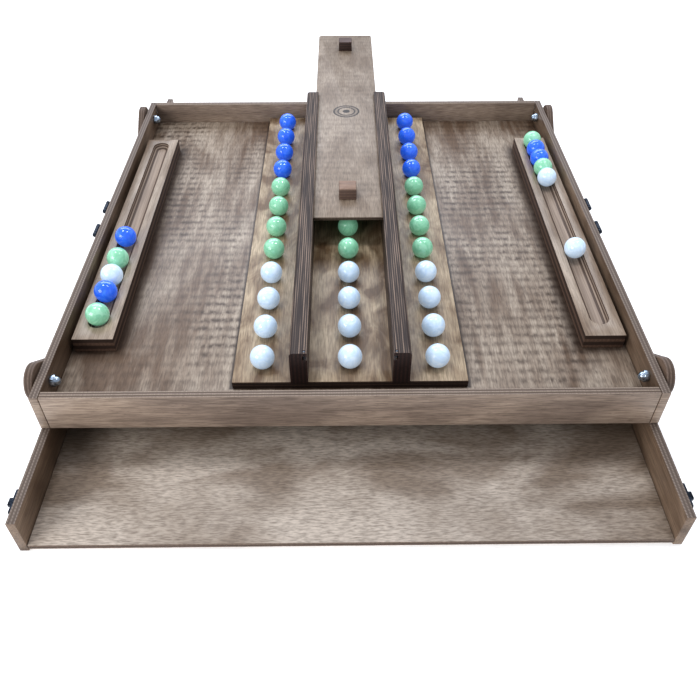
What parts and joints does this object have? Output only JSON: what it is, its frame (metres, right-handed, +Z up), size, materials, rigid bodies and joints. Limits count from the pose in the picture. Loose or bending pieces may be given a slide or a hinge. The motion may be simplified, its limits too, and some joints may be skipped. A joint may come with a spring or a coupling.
{
  "type": "folding marble sorting game",
  "caption": "Folding plywood marble game: tray with three rows of marbles, sliding cover, side racks and two swing-over half-lids on link arms.",
  "frame": {"origin": "on the surface the case stands on, under the middle of the object's box", "axes": "+X to the right, +Y to the back along the sliding cover, +Z up"},
  "size_m": [0.4344, 0.663, 0.0827],
  "materials": {
    "walnut_stained_ply": "satin walnut stain",
    "pale_ply": "worn satin stain",
    "dark_ply_edge": "dark stained ply edge",
    "blue_glass": "opaque gloss",
    "green_glass": "opaque gloss",
    "white_glass": "opal gloss",
    "bright_steel": "bright zinc",
    "black_metal": "blue-black"
  },
  "bodies": {
    "tray": {"tray_floor": "pale_ply", "tray_front_wall": "walnut_stained_ply", "tray_rear_wall": "walnut_stained_ply", "tray_left_wall": "walnut_stained_ply", "tray_right_wall": "walnut_stained_ply", "marble_board": "pale_ply", "left_guide_rail": "dark_ply_edge", "right_guide_rail": "dark_ply_edge", "left_cover_stop_pin": "bright_steel", "right_cover_stop_pin": "bright_steel", "left_marble_rack": "walnut_stained_ply", "right_marble_rack": "walnut_stained_ply", "front_left_tray_pivot": "bright_steel", "front_right_tray_pivot": "bright_steel", "rear_left_tray_pivot": "bright_steel", "rear_right_tray_pivot": "bright_steel", "front_left_latch_base": "black_metal", "front_right_latch_base": "black_metal", "rear_left_latch_base": "black_metal", "rear_right_latch_base": "black_metal", "middle_row_green_marbles": "green_glass", "middle_row_blue_marbles": "blue_glass"},
    "cover": {"sliding_cover": "pale_ply", "cover_front_knob": "walnut_stained_ply", "cover_rear_knob": "walnut_stained_ply"},
    "middle_row": {"middle_row_white_marbles": "white_glass"},
    "left_row": {"left_row_white_marbles": "white_glass", "left_row_green_marbles": "green_glass", "left_row_blue_marbles": "blue_glass"},
    "right_row": {"right_row_white_marbles": "white_glass", "right_row_green_marbles": "green_glass", "right_row_blue_marbles": "blue_glass"},
    "left_rack_run": {"left_rack_marbles": "green_glass"},
    "left_rack_single": {"left_rack_blue_marble": "blue_glass"},
    "right_rack_run": {"right_rack_marbles": "blue_glass"},
    "right_rack_single": {"right_rack_white_marble": "white_glass"},
    "front_arms": {"front_left_arm": "walnut_stained_ply", "front_right_arm": "walnut_stained_ply"},
    "front_lid": {"front_lid_floor": "pale_ply", "front_lid_end_wall": "walnut_stained_ply", "front_lid_left_wall": "walnut_stained_ply", "front_lid_right_wall": "walnut_stained_ply", "front_left_lid_pivot": "bright_steel", "front_right_lid_pivot": "bright_steel", "front_left_catch": "black_metal", "front_right_catch": "black_metal"},
    "front_left_hasp": {"front_left_hasp": "black_metal"},
    "front_right_hasp": {"front_right_hasp": "black_metal"},
    "rear_arms": {"rear_left_arm": "walnut_stained_ply", "rear_right_arm": "walnut_stained_ply"},
    "rear_lid": {"rear_lid_floor": "pale_ply", "rear_lid_end_wall": "walnut_stained_ply", "rear_lid_left_wall": "walnut_stained_ply", "rear_lid_right_wall": "walnut_stained_ply", "rear_left_lid_pivot": "bright_steel", "rear_right_lid_pivot": "bright_steel", "rear_left_catch": "black_metal", "rear_right_catch": "black_metal"},
    "rear_left_hasp": {"rear_left_hasp": "black_metal"},
    "rear_right_hasp": {"rear_right_hasp": "black_metal"}
  },
  "joints": [
    {"name": "cover_slide", "type": "slide", "parent": "tray", "child": "cover", "axis": [0, 1, 0], "range_m": [-0.162, 0.21]},
    {"name": "front_arm_swing", "type": "hinge", "parent": "tray", "child": "front_arms", "pos_m": [0, -0.233, 0.0524], "axis": [1, 0, 0], "range_deg": [-303, 0]},
    {"name": "front_lid_turn", "type": "hinge", "parent": "front_arms", "child": "front_lid", "pos_m": [0, -0.18995, 0.02], "axis": [1, 0, 0], "range_deg": [0, 123.2]},
    {"name": "rear_arm_swing", "type": "hinge", "parent": "tray", "child": "rear_arms", "pos_m": [0, 0.152, 0.0524], "axis": [1, 0, 0], "range_deg": [0, 54]},
    {"name": "rear_lid_turn", "type": "hinge", "parent": "rear_arms", "child": "rear_lid", "pos_m": [0, 0.10895, 0.02], "axis": [1, 0, 0], "range_deg": [-22, 0]},
    {"name": "front_left_hasp_swing", "type": "hinge", "parent": "tray", "child": "front_left_hasp", "pos_m": [-0.2137, -0.0585, 0.0555], "axis": [0, 1, 0], "range_deg": [0, 165]},
    {"name": "front_right_hasp_swing", "type": "hinge", "parent": "tray", "child": "front_right_hasp", "pos_m": [0.2137, -0.0585, 0.0555], "axis": [0, 1, 0], "range_deg": [-165, 0]},
    {"name": "rear_left_hasp_swing", "type": "hinge", "parent": "tray", "child": "rear_left_hasp", "pos_m": [-0.2137, -0.0225, 0.0555], "axis": [0, 1, 0], "range_deg": [0, 165]},
    {"name": "rear_right_hasp_swing", "type": "hinge", "parent": "tray", "child": "rear_right_hasp", "pos_m": [0.2137, -0.0225, 0.0555], "axis": [0, 1, 0], "range_deg": [-165, 0]},
    {"name": "middle_row_lift", "type": "slide", "parent": "tray", "child": "middle_row", "axis": [0, 0, 1], "range_m": [0, 0.06]},
    {"name": "left_row_lift", "type": "slide", "parent": "tray", "child": "left_row", "axis": [0, 0, 1], "range_m": [0, 0.06]},
    {"name": "right_row_lift", "type": "slide", "parent": "tray", "child": "right_row", "axis": [0, 0, 1], "range_m": [0, 0.06]},
    {"name": "left_rack_run_roll", "type": "slide", "parent": "tray", "child": "left_rack_run", "axis": [0, 1, 0], "range_m": [-0.0015, 0.0115]},
    {"name": "left_rack_single_roll", "type": "slide", "parent": "tray", "child": "left_rack_single", "axis": [0, 1, 0], "range_m": [-0.0115, 0.163]},
    {"name": "right_rack_run_roll", "type": "slide", "parent": "tray", "child": "right_rack_run", "axis": [0, 1, 0], "range_m": [-0.093, 0]},
    {"name": "right_rack_single_roll", "type": "slide", "parent": "tray", "child": "right_rack_single", "axis": [0, 1, 0], "range_m": [-0.08, 0.0925]}
  ],
  "couplings": [
    {"joint": "front_lid_turn", "follows": "front_arm_swing", "ratio": -0.40608},
    {"joint": "rear_lid_turn", "follows": "rear_arm_swing", "ratio": -0.40608}
  ]
}
